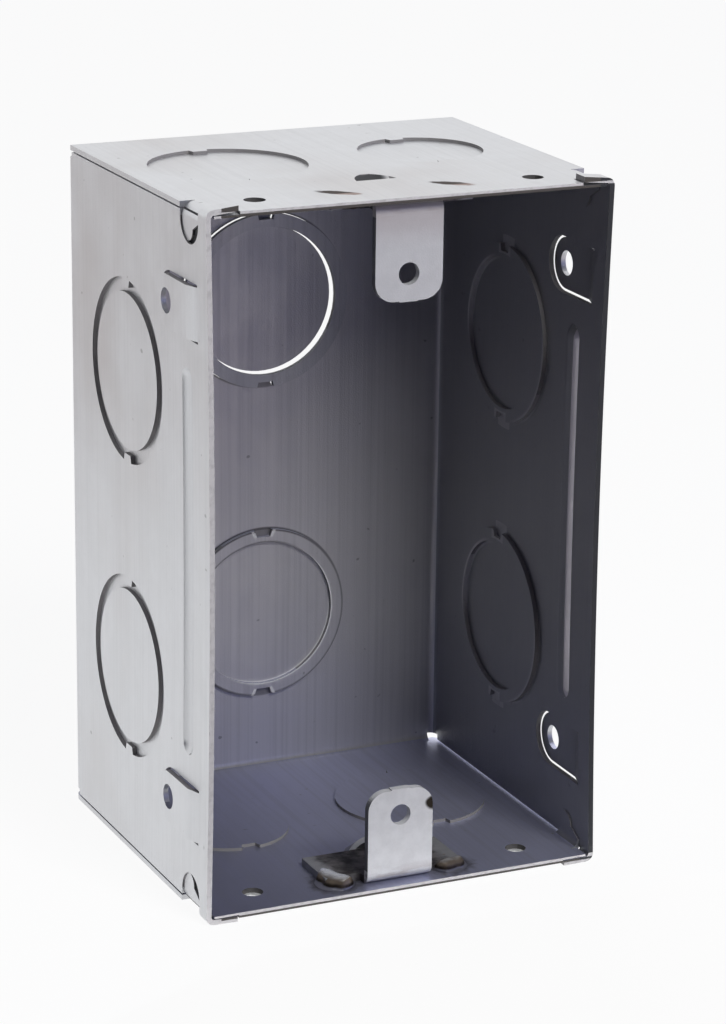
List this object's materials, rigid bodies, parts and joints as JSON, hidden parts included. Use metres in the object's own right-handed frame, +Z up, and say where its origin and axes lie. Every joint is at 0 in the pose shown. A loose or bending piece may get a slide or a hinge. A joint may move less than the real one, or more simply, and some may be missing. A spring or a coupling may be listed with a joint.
{
  "type": "flush back box",
  "caption": "Deep folded galvanised-steel flush box with an open front, tied round knockouts, lanced fixing tabs and welded ears that take a device's screws.",
  "frame": {"origin": "under the middle of the box, at the lowest point of its lower folded tabs", "axes": "+Z up along the box's height, the open front faces -Y, +X to the right seen from the front"},
  "size_m": [0.0662, 0.056, 0.1078],
  "materials": {
    "galvanised_sheet": "galvanised sheet with rolling lines and bright sheared edges",
    "ear_steel": "zinc-plated strip, a little smudged",
    "weld_metal": "lumpy weld metal with brown heat tint"
  },
  "bodies": {
    "root": {"box_body": "galvanised_sheet", "upper_device_ear": "ear_steel", "lower_device_ear": "ear_steel", "upper_right_weld": "weld_metal", "upper_left_weld": "weld_metal", "lower_right_weld": "weld_metal", "lower_left_weld": "weld_metal"}
  },
  "joints": []
}
